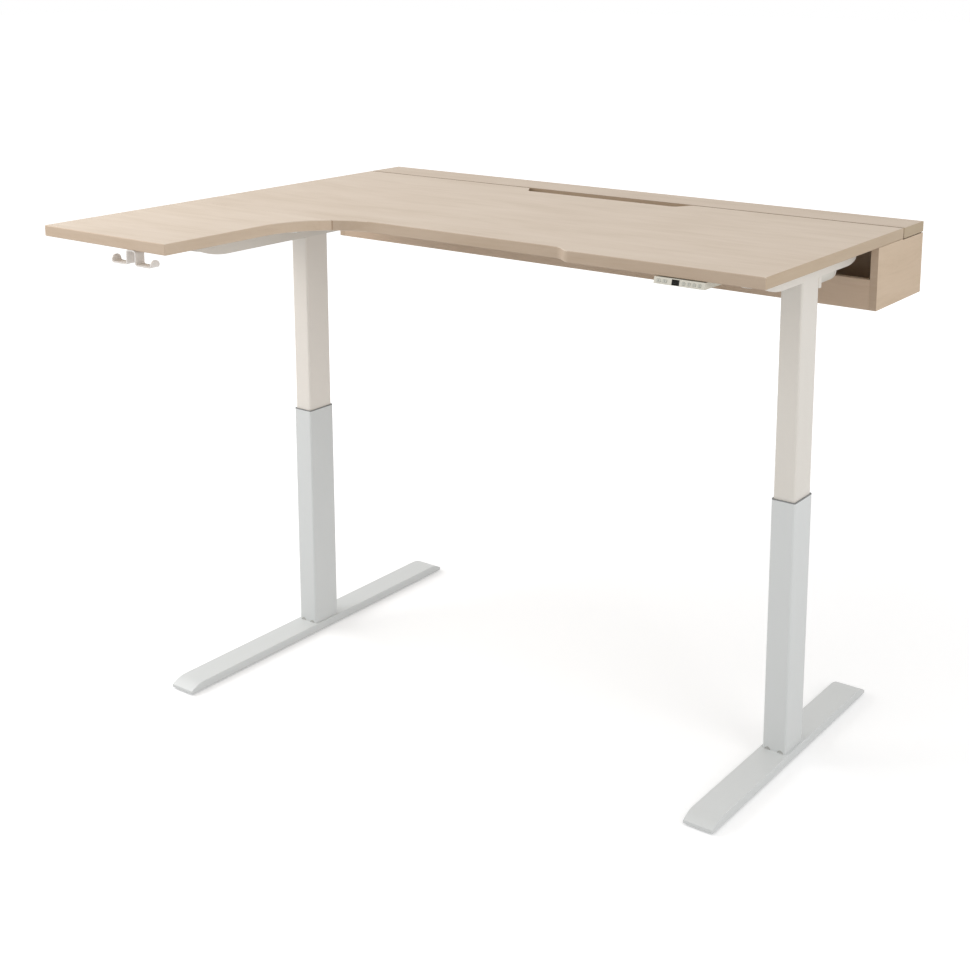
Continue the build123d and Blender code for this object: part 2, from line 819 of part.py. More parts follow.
def control_board():
    """The control box's circuit board, on four posts that stand on the case's floor."""
    x0, x1, y0, y1, z0, _ = control_span()
    floor = z0 + control_wall
    inset = control_wall + 1
    back = y0 + socket_depth + circuit_post
    low = floor + circuit_post
    plate = block(x0 + inset, x1 - inset, back, y1 - inset, low, low + circuit_board)
    for x in (x0 + circuit_post_inset, x1 - circuit_post_inset):
        for y in (back + circuit_post_inset, y1 - circuit_post_inset):
            plate += rod(x, y, floor, low, circuit_post)
    return plate


# Handset

def handset_profile(shrink=0.0):
    """Side view of the handset, in Y and Z, or of its hollow when shrunk by the wall."""
    low, high = under - handset_height, under - ear_sheet
    front_low = Y(desk_depth + handset_proud)
    front_high = front_low + handset_lean
    back = front_low + handset_depth - shrink
    slope = handset_lean / (high - low)
    wall = shrink * sqrt(1 + slope ** 2)
    return ((front_low + wall + slope * shrink, low + shrink), (back, low + shrink),
            (back, high - shrink), (front_high + wall - slope * shrink, high - shrink))


def handset_solid(shrink=0.0):
    outline = make_face(Polyline(*handset_profile(shrink), close=True).edges())
    x0 = X(handset_along) + shrink
    return Pos(x0, 0, 0) * extrude(Plane.YZ * outline, handset_width - 2 * shrink)


def face_plane():
    """Plane on the handset's front face, x along the handset, z out of the face."""
    low, high = handset_profile()[0], handset_profile()[3]
    middle = Vector(X(handset_along), (low[0] + high[0]) / 2, (low[1] + high[1]) / 2)
    up = Vector(0, high[0] - low[0], high[1] - low[1]).normalized()
    return Plane(origin=middle, x_dir=(1, 0, 0), z_dir=Vector(1, 0, 0).cross(up))


def on_face(sketch, along, lift, depth, thickness):
    """A prism on the handset's front face, from this depth behind it."""
    return face_plane() * Pos(along, lift, -depth) * extrude(sketch, thickness)


def key_cap(along, width, grow=0.0):
    cap = RectangleRounded(width + 2 * grow, key_height + 2 * grow, key_radius + grow)
    depth = handset_wall + key_tail
    return on_face(cap, along, 0, depth, depth + key_proud)


def key(along, width):
    solid = key_cap(along, width)
    front = face_plane().offset(key_proud)
    rim = [e for e in solid.edges() if abs(front.to_local_coords(e.center()).Z) < 0.01]
    rim_flange = Rectangle(width + 2 * key_flange, key_height + 2 * key_flange)
    flange = on_face(rim_flange, along, 0, handset_wall + key_tail, key_tail - run_clearance)
    return fillet(rim, key_rounding) + flange


def handset_shell():
    solid = handset_solid()
    solid = fillet(solid.edges().filter_by(Axis.X), handset_radius)
    solid -= handset_solid(handset_wall)
    window = Rectangle(display_width, display_height)
    solid -= on_face(window, display_along + display_width / 2, 0, display_depth, display_depth + 1)
    for along, width in keys.values():
        solid -= key_cap(along, width, run_clearance)
    return solid


def handset_display():
    window = Rectangle(display_width - 2 * display_fit, display_height - 2 * display_fit)
    return on_face(window, display_along + display_width / 2, 0, display_depth, display_depth)


def handset_board():
    """Circuit board behind the keys, whose ends bear on the shell's end walls."""
    depth = handset_wall + key_tail + key_travel + run_clearance + circuit_board
    plate = Rectangle(handset_width - 2 * handset_wall, handset_board_height)
    return on_face(plate, handset_width / 2, handset_board_lift, depth, circuit_board)


def handset_mount():
    x0 = X(handset_along)
    x1 = x0 + handset_width
    back = Y(desk_depth - ear_setback)
    plate = block(x0 - ear_length, x1 + ear_length, back, back + ear_depth, under - ear_sheet, under)
    for x in (x0 - ear_length / 2, x1 + ear_length / 2):
        wood_screws.append((x, back + ear_depth / 2, under - ear_sheet))
    return fillet(plate.edges().filter_by(Axis.Z), ear_corner)


# Bag hook

def bag_hook():
    """One bent strip: up-turned end, arm, stem, top, and the same again mirrored."""
    stem = hook_stem_gap / 2
    top, low = under - hook_strip / 2, under - hook_drop
    tip = low + hook_turn
    bend = stem + hook_strip / 2
    half = [(0, top), (bend, top), (bend, low), (stem + hook_arm, low), (stem + hook_arm, tip)]
    left = [(-x, z) for x, z in reversed(half[1:])]
    path = FilletPolyline(*(left + half[1:]), radius=hook_bend)
    ribbon = Plane.XZ * trace(path, hook_strip)
    solid = Pos(X(hook_along), Y(hook_back), 0) * extrude(ribbon, -hook_width)
    tip_edges = solid.edges().filter_by(Axis.X).filter_by(lambda e: abs(e.center().Z - tip) < 0.01)
    for side in (-1, 1):
        back = hook_back - hook_width * (0.5 + side * hook_screw_share)
        wood_screws.append((X(hook_along), Y(back), under - hook_strip))
    return fillet(tip_edges, hook_corner)


# Lid hinges

def hinge_axis():
    return rear + knuckle_gap + knuckle_radius, under


def hinge_leaf(along, kind):
    """One leaf with its knuckles: the lid's has the two outer ones, the fixed one the middle."""
    y, z = hinge_axis()
    x0 = X(along) - hinge_length / 2
    third = hinge_length / 3
    if kind == "lid":
        z0, z1 = z + leaf_gap, z + leaf_gap + leaf_height
        own = ((0, third), (2 * third, hinge_length))
        other = ((third, 2 * third),)
    else:
        z0, z1 = z - leaf_gap - leaf_height, z - leaf_gap
        own = ((third, 2 * third),)
        other = ((0, third), (2 * third, hinge_length))
    leaf = block(x0, x0 + hinge_length, rear, rear + leaf_sheet, z0, z1)
    for a, b in other:
        leaf -= rod_along_x(y, z, x0 + a - run_clearance, x0 + b + run_clearance,
                            knuckle_radius + run_clearance)
    for a, b in own:
        inset_a = 0 if a == 0 else run_clearance / 2
        inset_b = 0 if b == hinge_length else run_clearance / 2
        leaf += rod_along_x(y, z, x0 + a + inset_a, x0 + b - inset_b, knuckle_radius)
    leaf -= rod_along_x(y, z, x0 - 1, x0 + hinge_length + 1, pin_radius + pin_fit)
    for x, sy, sz in hinge_screw_places(kind):
        if abs(x - X(along)) < hinge_length / 2:
            leaf -= rod_along_y(x, sz, rear - 1, rear + leaf_sheet + 1, hinge_screw_radius + screw_fit)
    return leaf


def hinge_pin(along):
    y, z = hinge_axis()
    return rod_along_x(y, z, X(along) - hinge_length / 2, X(along) + hinge_length / 2, pin_radius)


def hinge_screw_places(kind):
    z = under + (1 if kind == "lid" else -1) * (leaf_gap + leaf_screw_share * leaf_height)
    places = []
    for along in hinge_alongs:
        for share in hinge_screw_shares:
            places.append((X(along) + share * hinge_length, rear, z))
    return places


def hinge_screws(kind):
    screws = []
    for x, y, z in hinge_screw_places(kind):
        shank = rod_along_y(x, z, y - hinge_screw_length, y + leaf_sheet, hinge_screw_radius)
        top = y + leaf_sheet + hinge_screw_head
        head = rod_along_y(x, z, y + leaf_sheet, top, 2 * hinge_screw_radius)
        rim = head.edges().filter_by(GeomType.CIRCLE).sort_by(Axis.Y)[-1]
        screws.append(shank + fillet(rim, 0.6 * hinge_screw_head))
    return screws


# Build and write every piece

os.makedirs("parts", exist_ok=True)

for side, (x, y, length) in legs.items():
    save(f"foot_{side}", foot(x, y, length))
    save(f"outer_tube_{side}", box_tube(x, y, foot_top, outer_top, outer_x, outer_y, outer_wall))
    save(f"inner_tube_{side}", box_tube(x, y, lowest_moving, tube_top, inner_x, inner_y, inner_wall))
    save(f"spindle_{side}", spindle(x, y))
    front_glide, rear_glide = glide_places(y, length)
    save(f"glide_front_{side}", glide(x, front_glide))
    save(f"glide_rear_{side}", glide(x, rear_glide))
    for back in arm_screw_backs(side):
        wood_screws.append((x, Y(back), under - arm_web))

places = [(x, y) for x, y, _ in legs.values()]
save("column_base_plates", *base_plates())
save("foot_bolts", *foot_bolts())
save("push_tubes", *[push_tube(*p) for p in places])
save("spindle_nuts", *[spindle_nut(*p) for p in places])
save("spindle_bearings", *[spindle_bearing(*p) for p in places])
save("guide_collars", *[guide_collar(*p) for p in places])
save("slide_pads", *[pad for p in places for pad in slide_pads(*p)])
save("gear_housings", *[gear_housing(*p) for p in places])
save("motors", *[motor(*p) for p in places])
save("cross_rails", *cross_rails())
save("rail_bolts", *rail_bolts())

plates = join_plates()
ledges = lid_ledges()
brackets = angle_brackets()
cover = control_cover()
mount = handset_mount()
hook = bag_hook()
main, wing = boards()
save("main_worktop", screw_holes(main))
save("wing_worktop", screw_holes(wing))
save("side_arm_left", screw_holes(side_arm("left")))
save("side_arm_right", screw_holes(side_arm("right")))
save("joining_plates", *[screw_holes(p) for p in plates])
save("lid_ledges", *[screw_holes(p) for p in ledges])
save("box_brackets", *[screw_holes(p) for p in brackets])
save("control_cover", screw_holes(cover))
save("handset_mount", screw_holes(mount))
save("bag_hook", screw_holes(hook))
save("board_screws", *[wood_screw(*s) for s in wood_screws])

for name, solid in zip(("end_left", "end_right", "front", "back", "bottom"), box_panels()):
    save(f"box_{name}", solid)
save("box_dowels", *[dowel(p) for p in box_dowel_places()])
save("control_case", control_case())
save("control_board", control_board())
save("control_sockets", *[control_socket(*s) for s in socket_places()[0]])
save("mains_inlet", control_socket(*socket_places()[1]))
save("handset_shell", handset_shell())
save("handset_display", handset_display())
save("handset_board", handset_board())
for name, (along, width) in keys.items():
    save(f"button_{name}", key(along, width))
save("cable_lid", cable_lid())
for kind in ("lid", "fixed"):
    save(f"hinge_leaves_{kind}", *[hinge_leaf(a, kind) for a in hinge_alongs])
    save(f"hinge_screws_{kind}", *hinge_screws(kind))
save("hinge_pins", *[hinge_pin(a) for a in hinge_alongs])
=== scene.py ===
import json
from math import hypot, pi, radians

import bpy
from mathutils import Matrix, Vector

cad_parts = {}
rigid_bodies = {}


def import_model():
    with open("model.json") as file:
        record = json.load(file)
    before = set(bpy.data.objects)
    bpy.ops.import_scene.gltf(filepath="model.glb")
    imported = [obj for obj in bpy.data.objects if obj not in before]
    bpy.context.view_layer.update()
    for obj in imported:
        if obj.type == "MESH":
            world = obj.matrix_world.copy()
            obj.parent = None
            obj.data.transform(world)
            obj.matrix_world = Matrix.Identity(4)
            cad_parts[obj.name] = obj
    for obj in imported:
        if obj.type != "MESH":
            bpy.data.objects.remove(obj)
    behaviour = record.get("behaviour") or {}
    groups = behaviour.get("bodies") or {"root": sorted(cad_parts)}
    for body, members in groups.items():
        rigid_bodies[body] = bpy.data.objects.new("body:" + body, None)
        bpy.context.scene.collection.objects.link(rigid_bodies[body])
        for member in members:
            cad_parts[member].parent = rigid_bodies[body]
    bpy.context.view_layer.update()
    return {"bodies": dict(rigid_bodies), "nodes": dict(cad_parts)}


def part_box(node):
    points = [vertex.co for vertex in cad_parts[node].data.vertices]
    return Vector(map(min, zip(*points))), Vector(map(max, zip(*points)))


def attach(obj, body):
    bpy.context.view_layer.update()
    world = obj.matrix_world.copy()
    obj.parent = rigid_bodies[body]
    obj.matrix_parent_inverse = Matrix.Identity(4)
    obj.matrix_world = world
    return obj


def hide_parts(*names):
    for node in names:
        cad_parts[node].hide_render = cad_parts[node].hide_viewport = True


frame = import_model()
nodes = frame["nodes"]
print("frame loaded:", len(nodes), "nodes")


# small helpers for the viewport work

def deselect():
    if bpy.context.object and bpy.context.object.mode != "OBJECT":
        bpy.ops.object.mode_set(mode="OBJECT")
    bpy.ops.object.select_all(action="DESELECT")


def pick(*pieces):    # selects the pieces alone, and makes the first one active
    deselect()
    for piece in pieces:
        piece.select_set(True)
    bpy.context.view_layer.objects.active = pieces[0]


def tone(red, green, blue):    # 0 to 255, as a screen shows it
    parts = [value / 255 for value in (red, green, blue)]
    linear = [value / 12.92 if value <= 0.04045 else ((value + 0.055) / 1.055) ** 2.4 for value in parts]
    return (*linear, 1.0)


def darker(colour, share):
    return (*[part * share for part in colour[:3]], 1.0)


# material graphs: a Signal is one output socket, and sums on signals add their own nodes

class Signal:
    def __init__(self, tree, socket=None):
        self.tree = tree
        self.socket = socket

    def make(self, kind, settings=None, sockets=None, output=0):
        node = self.tree.nodes.new(kind)
        for name, value in (settings or {}).items():
            if name == "stops":
                ramp = node.color_ramp
                while len(ramp.elements) < len(value):
                    ramp.elements.new(0.5)
                for element, (place, colour) in zip(ramp.elements, value):
                    element.position = place
                    element.color = colour
            else:
                setattr(node, name, value)
        for name, value in (sockets or {}).items():
            if isinstance(value, Signal):
                self.tree.links.new(value.socket, node.inputs[name])
            else:
                node.inputs[name].default_value = value
        return Signal(self.tree, node.outputs[output])

    def math(self, operation, *values):
        return self.make("ShaderNodeMath", {"operation": operation}, dict(enumerate(values)))

    def __add__(self, other):
        return self.math("ADD", self, other)

    def __sub__(self, other):
        return self.math("SUBTRACT", self, other)

    def __rsub__(self, other):
        return self.math("SUBTRACT", other, self)

    def __mul__(self, other):
        return self.math("MULTIPLY", self, other)

    def __gt__(self, other):
        return self.math("GREATER_THAN", self, other)

    def __lt__(self, other):
        return self.math("LESS_THAN", self, other)

    def __abs__(self):
        return self.math("ABSOLUTE", self)

    __radd__ = __add__
    __rmul__ = __mul__

    def ramp(self, low, high):    # 0 at low, 1 at high, smooth between
        return self.make("ShaderNodeMapRange", {"interpolation_type": "SMOOTHSTEP"},
                         {"Value": self, "From Min": low, "From Max": high})

    def times(self, scale):    # for a place in the piece, with a number for each axis
        return self.make("ShaderNodeVectorMath", {"operation": "MULTIPLY"}, {0: self, 1: scale})

    def shifted(self, other):
        return self.make("ShaderNodeVectorMath", {"operation": "ADD"}, {0: self, 1: other})

    def noise(self, scale, detail=2.0, roughness=0.5):
        return self.make("ShaderNodeTexNoise", {}, {"Vector": self, "Scale": scale, "Detail": detail,
                                                    "Roughness": roughness})

    def colours(self, first, second):    # this signal is the share of the second
        return self.make("ShaderNodeMix", {"data_type": "RGBA"}, {0: self, 6: first, 7: second}, output=2)

    def tinted(self, tint):
        return self.make("ShaderNodeMix", {"data_type": "RGBA", "blend_type": "MULTIPLY"},
                         {0: 1.0, 6: self, 7: tint}, output=2)


def newMaterial(name):    # with its shader, and a signal that is the place in the piece, in metres
    material = bpy.data.materials.new(name)
    material.use_nodes = True
    shader = material.node_tree.nodes["Principled BSDF"]
    place = Signal(material.node_tree).make("ShaderNodeTexCoord", output="Object")
    return material, shader, place


def finish(shader, fixed, varying):
    for name, value in fixed.items():
        shader.inputs[name].default_value = value
    for name, signal in varying.items():
        signal.tree.links.new(signal.socket, shader.inputs[name])


def bump(height, strength, distance):
    return height.make("ShaderNodeBump", {}, {"Height": height, "Strength": strength, "Distance": distance},
                       output="Normal")


# pale oak laminate: soft streaks along the grain, short pores, warmer and darker faces to the sides and
# front (partly their edge band, partly painted shade by which way they face), painted shade beside the lid's
# gap, a dark joint at the seam

oak = {
    "pale": tone(216, 202, 186),
    "middle": tone(211, 196, 179),
    "deep": tone(203, 187, 168),
    "stops": (0.34, 0.5, 0.66),   # where the deep, middle and pale tones lie on the blend
    "pore": tone(176, 155, 134),
    "streaks": (5.2, 38, 38),     # per metre, along and across the grain
    "lines": (9, 170, 170),
    "figure": (3.4, 14, 14),
    "pores": (14, 330, 330),
    "streakShare": 0.38,          # of the blend
    "lineShare": 0.18,
    "figureShare": 0.44,
    "streakDetail": (4.0, 0.55),  # of the noise: its detail and roughness
    "figureDetail": (3.0, 0.55),
    "poreDetail": (2.0, 0.6),
    "poreRange": (0.62, 0.74),
    "poreShare": 0.22,
    "poreStreaks": (0.62, 0.42),  # pores gather where the streaks are deep
    "bend": (1.5, 4.2, 4.2),      # per metre, how often the grain strays
    "wander": 0.09,               # metres that it strays, from one side to the other
    "roughness": 0.5,
    "roughnessSpread": 0.1,
    "shine": 0.3,
    "streakRelief": 0.4,
    "relief": 0.2,
    "reliefDepth": 0.0002,
    "facing": 0.7,                # a face looks along an axis where its normal passes this
    "gapShadeReach": 0.0016,           # the painted shade of the lid's gap reaches this far past its edges
    "gapPaintedShade": (0.20, 0.15, 0.11, 1.0),
    "seamReach": 0.0008,          # the seam's dark joint reaches this far past it, on the boards' edges
    "seamDark": (0.62, 0.52, 0.45, 1.0),
    "facingShades": {                    # flat faces, faces to the sides and back, faces to the front; the darker sides and fronts are partly the edge band, partly painted shade by which way they face
        "mainOak": ((0.94, 0.92, 0.90), (0.75, 0.69, 0.60), (0.75, 0.69, 0.63)),
        "wingOak": ((0.97, 0.955, 0.94), (0.90, 0.84, 0.77), (0.90, 0.83, 0.76)),
        "lidOak": ((0.88, 0.85, 0.82), (0.67, 0.62, 0.51), (0.60, 0.52, 0.43)),
        "boxOak": ((0.86, 0.81, 0.76), (0.91, 0.83, 0.73), (0.70, 0.63, 0.57)),
        # a copy of boxOak for the box's front board, its front face painted lighter against the shade under
        # the worktop
        "frontLitOak": ((0.86, 0.81, 0.76), (0.91, 0.83, 0.73), (0.80, 0.72, 0.655)),
    },
}
gapSpan = (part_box("main_worktop")[1].y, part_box("cable_lid")[0].y)       # between the worktop and the lid
seamSpan = (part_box("wing_worktop")[1].y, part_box("main_worktop")[0].y)   # between the two boards


def nearGap(spot, span, reach):    # 1 between two boards and up to the reach past their edges
    return abs(spot - (span[0] + span[1]) / 2) < reach + (span[1] - span[0]) / 2


def oakFinish(name, seamed=False):
    material, shader, place = newMaterial(name)
    normal = place.make("ShaderNodeTexCoord", output="Normal")
    across, back = [normal.make("ShaderNodeSeparateXYZ", {}, {0: normal}, output=axis) for axis in "XY"]
    onSide = abs(across) > oak["facing"]
    spot = [place.make("ShaderNodeSeparateXYZ", {}, {0: place}, output=axis) for axis in "XYZ"]
    turned = place.make("ShaderNodeCombineXYZ", {}, {0: spot[1], 1: spot[0], 2: spot[2]})
    grain = place.make("ShaderNodeMix", {"data_type": "VECTOR"}, {0: onSide, 4: place, 5: turned}, output=1)
    stray = (grain.times(oak["bend"]).noise(1.0) - 0.5) * oak["wander"]
    grain = grain.shifted(stray.make("ShaderNodeCombineXYZ", {}, {1: stray, 2: stray}))
    streak = grain.times(oak["streaks"]).noise(1.0, *oak["streakDetail"])
    line = grain.times(oak["lines"]).noise(1.0)
    figure = grain.times(oak["figure"]).noise(1.0, *oak["figureDetail"])
    pore = grain.times(oak["pores"]).noise(1.0, *oak["poreDetail"]).ramp(*oak["poreRange"])
    blend = streak * oak["streakShare"] + line * oak["lineShare"] + figure * oak["figureShare"]
    stops = tuple(zip(oak["stops"], (oak["deep"], oak["middle"], oak["pale"])))
    wood = blend.make("ShaderNodeValToRGB", {"stops": stops}, {0: blend})
    wood = (pore * oak["poreShare"] * streak.ramp(*oak["poreStreaks"])).colours(wood, oak["pore"])
    flat, side, front = [(*tint, 1.0) for tint in oak["facingShades"][name]]
    # painted shade on the flat faces inside and beside the lid's gap
    tint = nearGap(spot[1], gapSpan, oak["gapShadeReach"]).colours(flat, oak["gapPaintedShade"])
    # faces to the sides, back and front take darker tones: partly their edge band, partly painted shade by
    # facing
    tint = (onSide + (back > oak["facing"])).colours(tint, side)
    tint = (back < -oak["facing"]).colours(tint, front)
    if seamed:
        edge = (onSide + (abs(back) > oak["facing"])) > 0.5
        tint = (nearGap(spot[1], seamSpan, oak["seamReach"]) * edge).colours(tint, oak["seamDark"])
    finish(shader, {"Specular IOR Level": oak["shine"]},
           {"Base Color": wood.tinted(tint),
            "Roughness": oak["roughness"] + streak * oak["roughnessSpread"],
            "Normal": bump(streak * oak["streakRelief"] - pore, oak["relief"], oak["reliefDepth"])})
    return material


# powder coat: an even colour with a fine orange peel

coat = {
    "lower": tone(213, 215, 214),
    "upper": tone(222, 217, 209),
    # the upper paint made lighter for the left inner tube: painted light
    "leftTubeLit": tone(229, 223, 215),
    "motor": tone(212, 209, 201),
    "hook": tone(230, 224, 218),
    "peel": 620.0,    # per metre
    "relief": 0.12,
    "reliefDepth": 0.0003,
    "roughnessSpread": 0.2,
    "cloud": 3.0,
    "cloudShare": 0.5,
    "cloudDark": 0.95,
}


def coatFinish(name, colour, roughness=0.42):
    material, shader, place = newMaterial(name)
    peel = place.noise(coat["peel"])
    cloud = place.noise(coat["cloud"])
    shade = (cloud * coat["cloudShare"]).colours(colour, darker(colour, coat["cloudDark"]))
    finish(shader, {},
           {"Base Color": shade, "Roughness": roughness + (peel - 0.5) * coat["roughnessSpread"],
            "Normal": bump(peel, coat["relief"], coat["reliefDepth"])})
    return material


# bare and plated metal: fine turning marks and a little cloudiness

metal = {
    "marks": (300, 300, 2600),    # per metre
    "marksDetail": (2.0, 0.6),    # of the noise: its detail and roughness
    "relief": 0.10,
    "reliefDepth": 0.0001,
    "roughnessSpread": 0.14,
    "cloud": 60.0,
    "cloudDetail": (3.0, 0.6),
    "cloudRange": (0.35, 0.7),
    "cloudDark": 0.94,
}


def metalFinish(name, colour, roughness):
    material, shader, place = newMaterial(name)
    line = place.times(metal["marks"]).noise(1.0, *metal["marksDetail"])
    cloud = place.noise(metal["cloud"], *metal["cloudDetail"])
    shade = cloud.ramp(*metal["cloudRange"]).colours(colour, darker(colour, metal["cloudDark"]))
    finish(shader, {"Metallic": 1.0},
           {"Base Color": shade, "Roughness": roughness + cloud * metal["roughnessSpread"],
            "Normal": bump(line, metal["relief"], metal["reliefDepth"])})
    return material


# sand cast alloy: a grainy skin over slow flow marks

cast = {
    "sand": 900.0,    # per metre
    "flow": 28.0,
    "detail": (3.0, 0.6),
    "flowShare": 0.5,
    "flowRange": (0.3, 0.7),
    "flowDark": 0.9,
    "relief": 0.22,
    "reliefDepth": 0.0004,
    "metal": 0.75,
    "roughness": 0.42,
    "roughnessSpread": 0.2,
}


def castFinish(name, colour):
    material, shader, place = newMaterial(name)
    sand = place.noise(cast["sand"], *cast["detail"])
    flow = place.noise(cast["flow"], *cast["detail"])
    shade = flow.ramp(*cast["flowRange"]).colours(colour, darker(colour, cast["flowDark"]))
    finish(shader, {"Metallic": cast["metal"]},
           {"Base Color": shade, "Roughness": cast["roughness"] + sand * cast["roughnessSpread"],
            "Normal": bump(sand + flow * cast["flowShare"], cast["relief"], cast["reliefDepth"])})
    return material


# moulded plastic: spark-eroded grain and a slight unevenness of colour

plastic = {
    "grainDetail": (2.0, 0.55),
    "reliefDepth": 0.0002,
    "roughnessSpread": 0.16,
    "cloud": 24.0,    # per metre
    "cloudRange": (0.35, 0.65),
    "cloudDark": 0.95,
}


def plasticFinish(name, colour, roughness=0.45, grain=1500.0, relief=0.12, shine=0.5):
    material, shader, place = newMaterial(name)
    eroded = place.noise(grain, *plastic["grainDetail"])
    cloud = place.noise(plastic["cloud"])
    shade = cloud.ramp(*plastic["cloudRange"]).colours(colour, darker(colour, plastic["cloudDark"]))
    finish(shader, {"Specular IOR Level": shine},
           {"Base Color": shade, "Roughness": roughness + (eroded - 0.5) * plastic["roughnessSpread"],
            "Normal": bump(eroded, relief, plastic["reliefDepth"])})
    return material


# circuit board: green resist over faint tracks

resist = {
    "light": tone(24, 92, 52),
    "dark": tone(18, 74, 44),
    "track": tone(92, 140, 84),
    "trackShare": 0.35,
    "tracks": 90.0,    # per metre
    "trackWidth": 0.06,
    "cloud": 40.0,
    "coat": 0.4,
    "roughness": 0.4,
    "roughnessSpread": 0.1,
}


def resistFinish(name):
    material, shader, place = newMaterial(name)
    track = place.make("ShaderNodeTexBrick", {"offset": 0.5},
                       {"Vector": place, "Scale": resist["tracks"], "Mortar Size": resist["trackWidth"],
                        "Color1": (0, 0, 0, 1), "Color2": (0, 0, 0, 1), "Mortar": (1, 1, 1, 1)}, output=1)
    cloud = place.noise(resist["cloud"])
    green = cloud.colours(resist["light"], resist["dark"])
    finish(shader, {"Coat Weight": resist["coat"]},
           {"Base Color": (track * resist["trackShare"]).colours(green, resist["track"]),
            "Roughness": resist["roughness"] + cloud * resist["roughnessSpread"]})
    return material


# one finish for each slot, and the nodes that have one of their own

boxWood = oakFinish("boxOak")
finishes = {
    "oak_board": boxWood,
    "raw_wood": boxWood,
    "frame_paint": coatFinish("framePaint", coat["lower"]),
    "motor_paint": coatFinish("motorPaint", coat["motor"], 0.38),
    "hook_paint": coatFinish("hookPaint", coat["hook"], 0.36),
    "plated_steel": metalFinish("platedSteel", tone(196, 195, 190), 0.26),
    "bright_steel": metalFinish("brightSteel", tone(205, 205, 204), 0.18),
    "cast_alloy": castFinish("castAlloy", tone(186, 188, 190)),
    "nut_plastic": plasticFinish("nutPlastic", tone(225, 223, 212), 0.4),
    "collar_plastic": plasticFinish("collarPlastic", tone(128, 129, 129), 0.5),
    "glide_plastic": plasticFinish("glidePlastic", tone(42, 42, 43), 0.55),
    "case_plastic": plasticFinish("casePlastic", tone(222, 223, 222), 0.5, 1100.0, 0.2),
    "socket_plastic": plasticFinish("socketPlastic", tone(34, 34, 35)),
    "board_laminate": resistFinish("boardLaminate"),
    "handset_plastic": plasticFinish("handsetPlastic", tone(216, 212, 199), 0.36, 1800.0, 0.08),
    "display_black": plasticFinish("displayBlack", tone(9, 7, 4), 0.34, 300.0, 0.0, 0.1),
    "button_plastic": plasticFinish("buttonPlastic", tone(196, 195, 184), 0.5, 1600.0, 0.1),
}
upperPaint = coatFinish("upperPaint", coat["upper"])
nodeFinishes = {
    "main_worktop": oakFinish("mainOak", seamed=True),
    "wing_worktop": oakFinish("wingOak", seamed=True),
    "cable_lid": oakFinish("lidOak"),
    # the box's front board takes the lighter copy of boxOak: painted light
    "box_front": oakFinish("frontLitOak"),
    # the left inner tube takes the lighter copy of the upper paint: painted light
    "inner_tube_left": coatFinish("leftTubeLitPaint", coat["leftTubeLit"]),
    "inner_tube_right": upperPaint,
    "side_arm_left": upperPaint,
    "side_arm_right": upperPaint,
    "gear_housings": upperPaint,
}
bodyOf = {name: body for name, node in nodes.items() for body, empty in frame["bodies"].items()
          if node.parent == empty}
slotOf = {}
for name, node in nodes.items():
    for slot in node.material_slots:
        slotOf[name] = slot.material.name.split(".")[0]
        slot.material = nodeFinishes.get(name, finishes[slotOf[name]])
print("finishes assigned")


# modelling helpers: faces are chosen by a test on their middle and normal

meshCare = {
    "smoothUnder": 35,       # degrees: edges that turn more than this stay sharp
    "weldWithin": 0.000002,  # corners this near to each other are one
    "straightOn": 0.9,       # a face looks up or down where its normal passes this
}


def chooseFaces(piece, wanted):
    bpy.ops.object.mode_set(mode="EDIT")
    bpy.ops.mesh.select_mode(type="FACE")
    bpy.ops.mesh.select_all(action="DESELECT")
    bpy.ops.object.mode_set(mode="OBJECT")
    for face in piece.data.polygons:
        face.select = wanted(face.center, face.normal)
    bpy.ops.object.mode_set(mode="EDIT")


def settle(piece, material, body):    # the last step of every new piece
    pick(piece)
    bpy.ops.object.transform_apply(location=True, rotation=True, scale=True)
    bpy.ops.object.mode_set(mode="EDIT")
    bpy.ops.mesh.select_all(action="SELECT")
    bpy.ops.mesh.normals_make_consistent(inside=False)
    bpy.ops.object.mode_set(mode="OBJECT")
    bpy.ops.object.shade_smooth_by_angle(angle=radians(meshCare["smoothUnder"]))
    piece.data.materials.clear()
    piece.data.materials.append(material)
    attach(piece, body)


def spread(template, spots):    # a copy at each (place, way its z axis points), then one object
    copies = []
    for place, way in spots:
        pick(template)
        bpy.ops.object.duplicate()
        copy = bpy.context.object
        copy.location = place
        copy.rotation_euler = Vector(way).to_track_quat("Z", "Y").to_euler()
        copies.append(copy)
    pick(template)
    bpy.ops.object.delete()
    pick(*copies)
    bpy.ops.object.join()
    bpy.ops.object.transform_apply(location=True, rotation=True, scale=True)
    return bpy.context.object


def looseSolids(name):    # the corners of each separate solid of a node
    pick(nodes[name])
    bpy.ops.object.duplicate()
    bpy.ops.object.mode_set(mode="EDIT")
    bpy.ops.mesh.select_all(action="SELECT")
    bpy.ops.mesh.remove_doubles(threshold=meshCare["weldWithin"])
    bpy.ops.mesh.separate(type="LOOSE")
    bpy.ops.object.mode_set(mode="OBJECT")
    solids = [[vertex.co.copy() for vertex in copy.data.vertices] for copy in bpy.context.selected_objects]
    bpy.ops.object.delete()
    return solids


# screws and bolts: one is shaped for each size and copied to every place

fixings = {
    "board_screws": {"drive": "cross", "dome": 0.55},    # the dome is a share of the head's height
    "hinge_screws_fixed": {"drive": "cross", "dome": 0.5},
    "hinge_screws_lid": {"drive": "cross", "dome": 0.5},
    "rail_bolts": {"drive": "hex", "dome": 0.14},
    "foot_bolts": {"drive": "hex", "dome": 0.14},
}
fixingForm = {
    "sides": 24,
    "domeSteps": 3,
    "domeProfile": 0.6,
    "tip": 0.45,           # of the shank's width, left at its end
    "hexWidth": 0.58,      # the recesses' widths, as shares of the head's radius
    "crossLength": 1.1,
    "crossWidth": 0.26,
    "hexPlace": 0.9,       # middle of its cutter, in head heights from the seat
    "headFrom": 0.75,      # of the radius: a corner further out belongs to the head
    "endShare": 0.05,      # of the length: the head is at the top if it comes this near to it
}


